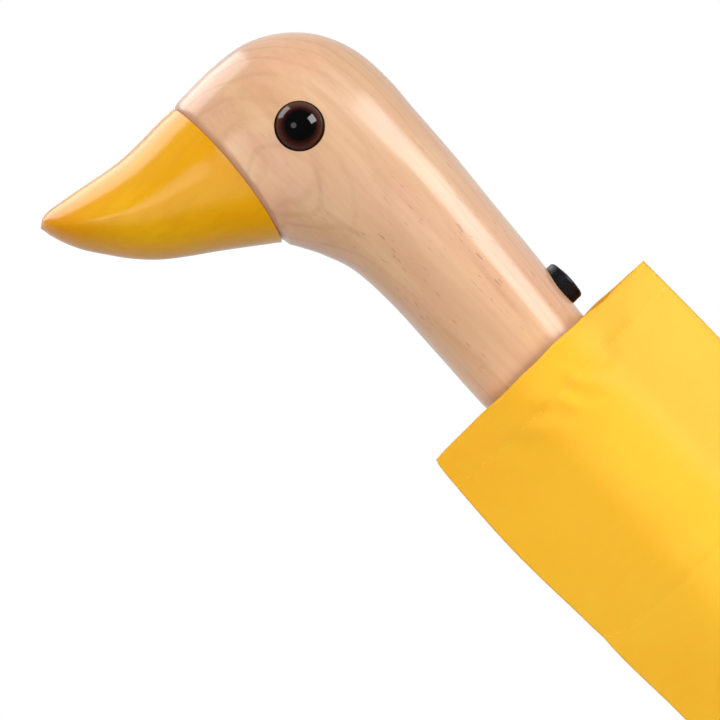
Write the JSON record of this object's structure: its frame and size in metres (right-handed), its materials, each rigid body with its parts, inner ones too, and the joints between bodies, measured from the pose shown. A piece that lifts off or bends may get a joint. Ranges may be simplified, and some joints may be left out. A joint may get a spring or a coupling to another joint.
{
  "type": "folding umbrella",
  "caption": "Compact children's folding umbrella with a carved duck's-head handle, closed in its flat fabric sleeve, with a telescopic shaft and hinged ribs.",
  "frame": {"origin": "on the shaft axis, level with the centre of the push button, inside the duck's neck", "axes": "+Z along the shaft towards the duck's head, +X the side the button faces, the bill points along -X"},
  "size_m": [0.1001, 0.047, 0.3219],
  "materials": {
    "maple": "clear gloss varnish",
    "yellow_lacquer": "gloss lacquer over wood",
    "eye_glass": "polished dome, dark brown",
    "iris": "brown iris with a black pupil",
    "shaft_steel": "bright plated",
    "black_metal": "satin black",
    "black_plastic": "smooth moulded",
    "yellow_cloth": "satin woven polyester"
  },
  "bodies": {
    "handle": {"head": "maple", "bill": "yellow_lacquer", "bill_dowel": "maple", "eye_left": "eye_glass", "eye_right": "eye_glass", "iris_left": "iris", "iris_right": "iris", "outer_tube": "shaft_steel", "tube_pin": "shaft_steel", "foot_collar": "black_plastic", "button_guide": "black_plastic", "button_spring": "shaft_steel"},
    "button": {"button": "black_plastic"},
    "middle_shaft": {"middle_tube": "shaft_steel"},
    "crown_group": {"inner_tube": "shaft_steel", "crown": "black_plastic", "crown_pins": "shaft_steel", "crown_cap": "black_plastic", "canopy": "yellow_cloth", "tie_strap": "yellow_cloth", "strap_stud": "shaft_steel"},
    "runner_group": {"runner": "black_plastic", "runner_pins": "shaft_steel"},
    "sleeve": {"sleeve": "yellow_cloth"},
    "main_rib_1": {"main_rib_1": "black_metal"},
    "outer_rib_1": {"outer_rib_1": "black_metal", "rib_tip_1": "black_plastic"},
    "stretcher_1": {"stretcher_1": "black_metal"},
    "gore_upper_1": {"gore_upper_1": "yellow_cloth"},
    "gore_lower_1": {"gore_lower_1": "yellow_cloth"},
    "main_rib_2": {"main_rib_2": "black_metal"},
    "outer_rib_2": {"outer_rib_2": "black_metal", "rib_tip_2": "black_plastic"},
    "stretcher_2": {"stretcher_2": "black_metal"},
    "gore_upper_2": {"gore_upper_2": "yellow_cloth"},
    "gore_lower_2": {"gore_lower_2": "yellow_cloth"},
    "main_rib_3": {"main_rib_3": "black_metal"},
    "outer_rib_3": {"outer_rib_3": "black_metal", "rib_tip_3": "black_plastic"},
    "stretcher_3": {"stretcher_3": "black_metal"},
    "gore_upper_3": {"gore_upper_3": "yellow_cloth"},
    "gore_lower_3": {"gore_lower_3": "yellow_cloth"},
    "main_rib_4": {"main_rib_4": "black_metal"},
    "outer_rib_4": {"outer_rib_4": "black_metal", "rib_tip_4": "black_plastic"},
    "stretcher_4": {"stretcher_4": "black_metal"},
    "gore_upper_4": {"gore_upper_4": "yellow_cloth"},
    "gore_lower_4": {"gore_lower_4": "yellow_cloth"},
    "main_rib_5": {"main_rib_5": "black_metal"},
    "outer_rib_5": {"outer_rib_5": "black_metal", "rib_tip_5": "black_plastic"},
    "stretcher_5": {"stretcher_5": "black_metal"},
    "gore_upper_5": {"gore_upper_5": "yellow_cloth"},
    "gore_lower_5": {"gore_lower_5": "yellow_cloth"},
    "main_rib_6": {"main_rib_6": "black_metal"},
    "outer_rib_6": {"outer_rib_6": "black_metal", "rib_tip_6": "black_plastic"},
    "stretcher_6": {"stretcher_6": "black_metal"},
    "gore_upper_6": {"gore_upper_6": "yellow_cloth"},
    "gore_lower_6": {"gore_lower_6": "yellow_cloth"}
  },
  "joints": [
    {"name": "button_press", "type": "slide", "parent": "handle", "child": "button", "axis": [-1, 0, 0], "range_m": [0, 0.0025], "stiffness_N_per_m": 400, "springref_m": -0.003, "deforming": ["button_spring"]},
    {"name": "shaft_extend", "type": "slide", "parent": "handle", "child": "middle_shaft", "axis": [0, 0, -1], "range_m": [0, 0.17]},
    {"name": "inner_extend", "type": "slide", "parent": "middle_shaft", "child": "crown_group", "axis": [0, 0, -1], "range_m": [0, 0.17]},
    {"name": "open", "type": "slide", "parent": "crown_group", "child": "runner_group", "axis": [0, 0, -1], "range_m": [0, 0.09008], "deforming": ["canopy", "tie_strap", "strap_stud", "sleeve", "gore_upper_1", "gore_upper_2", "gore_upper_3", "gore_upper_4", "gore_upper_5", "gore_upper_6", "gore_lower_1", "gore_lower_2", "gore_lower_3", "gore_lower_4", "gore_lower_5", "gore_lower_6"]},
    {"name": "sleeve_off", "type": "slide", "parent": "crown_group", "child": "sleeve", "axis": [0, 0, -1], "range_m": [0, 0.23]},
    {"name": "rib_1_hinge", "type": "hinge", "parent": "crown_group", "child": "main_rib_1", "pos_m": [0.00779, 0.0045, -0.207], "axis": [-0.5, 0.866, 0], "range_deg": [0, 78.01]},
    {"name": "rib_1_fold", "type": "hinge", "parent": "main_rib_1", "child": "outer_rib_1", "pos_m": [0.00953, 0.0055, -0.036], "axis": [0.5, -0.866, 0], "range_deg": [0, 200.01]},
    {"name": "stretcher_1_hinge", "type": "hinge", "parent": "runner_group", "child": "stretcher_1", "pos_m": [0.00779, 0.0045, -0.052], "axis": [0.5, -0.866, 0], "range_deg": [0, 53.67]},
    {"name": "gore_upper_1_spread", "type": "hinge", "parent": "main_rib_1", "child": "gore_upper_1", "pos_m": [0.00909, 0.00525, -0.21652], "axis": [-0.8003, -0.5997, 0], "range_deg": [0, 58.56]},
    {"name": "gore_lower_1_spread", "type": "hinge", "parent": "outer_rib_1", "child": "gore_lower_1", "pos_m": [0.00996, 0.00575, 0.17202], "axis": [0.9744, 0.2248, 0], "range_deg": [0, 50.18]},
    {"name": "rib_2_hinge", "type": "hinge", "parent": "crown_group", "child": "main_rib_2", "pos_m": [0, 0.009, -0.207], "axis": [-1, 0, 0], "range_deg": [0, 78.01]},
    {"name": "rib_2_fold", "type": "hinge", "parent": "main_rib_2", "child": "outer_rib_2", "pos_m": [0, 0.011, -0.036], "axis": [1, 0, 0], "range_deg": [0, 200.01]},
    {"name": "stretcher_2_hinge", "type": "hinge", "parent": "runner_group", "child": "stretcher_2", "pos_m": [0, 0.009, -0.052], "axis": [1, 0, 0], "range_deg": [0, 53.67]},
    {"name": "gore_upper_2_spread", "type": "hinge", "parent": "main_rib_2", "child": "gore_upper_2", "pos_m": [0, 0.0105, -0.21652], "axis": [0.1192, -0.9929, 0], "range_deg": [0, 58.56]},
    {"name": "gore_lower_2_spread", "type": "hinge", "parent": "outer_rib_2", "child": "gore_lower_2", "pos_m": [0, 0.0115, 0.17202], "axis": [0.2926, 0.9562, 0], "range_deg": [0, 50.18]},
    {"name": "rib_3_hinge", "type": "hinge", "parent": "crown_group", "child": "main_rib_3", "pos_m": [-0.00779, 0.0045, -0.207], "axis": [-0.5, -0.866, 0], "range_deg": [0, 78.01]},
    {"name": "rib_3_fold", "type": "hinge", "parent": "main_rib_3", "child": "outer_rib_3", "pos_m": [-0.00953, 0.0055, -0.036], "axis": [0.5, 0.866, 0], "range_deg": [0, 200.01]},
    {"name": "stretcher_3_hinge", "type": "hinge", "parent": "runner_group", "child": "stretcher_3", "pos_m": [-0.00779, 0.0045, -0.052], "axis": [0.5, 0.866, 0], "range_deg": [0, 53.67]},
    {"name": "gore_upper_3_spread", "type": "hinge", "parent": "main_rib_3", "child": "gore_upper_3", "pos_m": [-0.00909, 0.00525, -0.21652], "axis": [0.9194, -0.3932, 0], "range_deg": [0, 58.56]},
    {"name": "gore_lower_3_spread", "type": "hinge", "parent": "outer_rib_3", "child": "gore_lower_3", "pos_m": [-0.00996, 0.00575, 0.17202], "axis": [-0.6819, 0.7315, 0], "range_deg": [0, 50.18]},
    {"name": "rib_4_hinge", "type": "hinge", "parent": "crown_group", "child": "main_rib_4", "pos_m": [-0.00779, -0.0045, -0.207], "axis": [0.5, -0.866, 0], "range_deg": [0, 78.01]},
    {"name": "rib_4_fold", "type": "hinge", "parent": "main_rib_4", "child": "outer_rib_4", "pos_m": [-0.00953, -0.0055, -0.036], "axis": [-0.5, 0.866, 0], "range_deg": [0, 200.01]},
    {"name": "stretcher_4_hinge", "type": "hinge", "parent": "runner_group", "child": "stretcher_4", "pos_m": [-0.00779, -0.0045, -0.052], "axis": [-0.5, 0.866, 0], "range_deg": [0, 53.67]},
    {"name": "gore_upper_4_spread", "type": "hinge", "parent": "main_rib_4", "child": "gore_upper_4", "pos_m": [-0.00909, -0.00525, -0.21652], "axis": [0.8003, 0.5997, 0], "range_deg": [0, 58.56]},
    {"name": "gore_lower_4_spread", "type": "hinge", "parent": "outer_rib_4", "child": "gore_lower_4", "pos_m": [-0.00996, -0.00575, 0.17202], "axis": [-0.9744, -0.2248, 0], "range_deg": [0, 50.18]},
    {"name": "rib_5_hinge", "type": "hinge", "parent": "crown_group", "child": "main_rib_5", "pos_m": [0, -0.009, -0.207], "axis": [1, 0, 0], "range_deg": [0, 78.01]},
    {"name": "rib_5_fold", "type": "hinge", "parent": "main_rib_5", "child": "outer_rib_5", "pos_m": [0, -0.011, -0.036], "axis": [-1, 0, 0], "range_deg": [0, 200.01]},
    {"name": "stretcher_5_hinge", "type": "hinge", "parent": "runner_group", "child": "stretcher_5", "pos_m": [0, -0.009, -0.052], "axis": [-1, 0, 0], "range_deg": [0, 53.67]},
    {"name": "gore_upper_5_spread", "type": "hinge", "parent": "main_rib_5", "child": "gore_upper_5", "pos_m": [0, -0.0105, -0.21652], "axis": [-0.1192, 0.9929, 0], "range_deg": [0, 58.56]},
    {"name": "gore_lower_5_spread", "type": "hinge", "parent": "outer_rib_5", "child": "gore_lower_5", "pos_m": [0, -0.0115, 0.17202], "axis": [-0.2926, -0.9562, 0], "range_deg": [0, 50.18]},
    {"name": "rib_6_hinge", "type": "hinge", "parent": "crown_group", "child": "main_rib_6", "pos_m": [0.00779, -0.0045, -0.207], "axis": [0.5, 0.866, 0], "range_deg": [0, 78.01]},
    {"name": "rib_6_fold", "type": "hinge", "parent": "main_rib_6", "child": "outer_rib_6", "pos_m": [0.00953, -0.0055, -0.036], "axis": [-0.5, -0.866, 0], "range_deg": [0, 200.01]},
    {"name": "stretcher_6_hinge", "type": "hinge", "parent": "runner_group", "child": "stretcher_6", "pos_m": [0.00779, -0.0045, -0.052], "axis": [-0.5, -0.866, 0], "range_deg": [0, 53.67]},
    {"name": "gore_upper_6_spread", "type": "hinge", "parent": "main_rib_6", "child": "gore_upper_6", "pos_m": [0.00909, -0.00525, -0.21652], "axis": [-0.9194, 0.3932, 0], "range_deg": [0, 58.56]},
    {"name": "gore_lower_6_spread", "type": "hinge", "parent": "outer_rib_6", "child": "gore_lower_6", "pos_m": [0.00996, -0.00575, 0.17202], "axis": [0.6819, -0.7315, 0], "range_deg": [0, 50.18]}
  ],
  "couplings": [
    {"joint": "inner_extend", "follows": "shaft_extend", "ratio": 1},
    {"joint": "rib_1_hinge", "follows": "open", "rad_per_m": 15.113},
    {"joint": "rib_1_fold", "follows": "open", "rad_per_m": 38.751},
    {"joint": "stretcher_1_hinge", "follows": "open", "rad_per_m": 10.397},
    {"joint": "gore_upper_1_spread", "follows": "open", "rad_per_m": 11.346},
    {"joint": "gore_lower_1_spread", "follows": "open", "rad_per_m": 9.7221},
    {"joint": "rib_2_hinge", "follows": "open", "rad_per_m": 15.113},
    {"joint": "rib_2_fold", "follows": "open", "rad_per_m": 38.751},
    {"joint": "stretcher_2_hinge", "follows": "open", "rad_per_m": 10.397},
    {"joint": "gore_upper_2_spread", "follows": "open", "rad_per_m": 11.346},
    {"joint": "gore_lower_2_spread", "follows": "open", "rad_per_m": 9.7221},
    {"joint": "rib_3_hinge", "follows": "open", "rad_per_m": 15.113},
    {"joint": "rib_3_fold", "follows": "open", "rad_per_m": 38.751},
    {"joint": "stretcher_3_hinge", "follows": "open", "rad_per_m": 10.397},
    {"joint": "gore_upper_3_spread", "follows": "open", "rad_per_m": 11.346},
    {"joint": "gore_lower_3_spread", "follows": "open", "rad_per_m": 9.7221},
    {"joint": "rib_4_hinge", "follows": "open", "rad_per_m": 15.113},
    {"joint": "rib_4_fold", "follows": "open", "rad_per_m": 38.751},
    {"joint": "stretcher_4_hinge", "follows": "open", "rad_per_m": 10.397},
    {"joint": "gore_upper_4_spread", "follows": "open", "rad_per_m": 11.346},
    {"joint": "gore_lower_4_spread", "follows": "open", "rad_per_m": 9.7221},
    {"joint": "rib_5_hinge", "follows": "open", "rad_per_m": 15.113},
    {"joint": "rib_5_fold", "follows": "open", "rad_per_m": 38.751},
    {"joint": "stretcher_5_hinge", "follows": "open", "rad_per_m": 10.397},
    {"joint": "gore_upper_5_spread", "follows": "open", "rad_per_m": 11.346},
    {"joint": "gore_lower_5_spread", "follows": "open", "rad_per_m": 9.7221},
    {"joint": "rib_6_hinge", "follows": "open", "rad_per_m": 15.113},
    {"joint": "rib_6_fold", "follows": "open", "rad_per_m": 38.751},
    {"joint": "stretcher_6_hinge", "follows": "open", "rad_per_m": 10.397},
    {"joint": "gore_upper_6_spread", "follows": "open", "rad_per_m": 11.346},
    {"joint": "gore_lower_6_spread", "follows": "open", "rad_per_m": 9.7221}
  ]
}
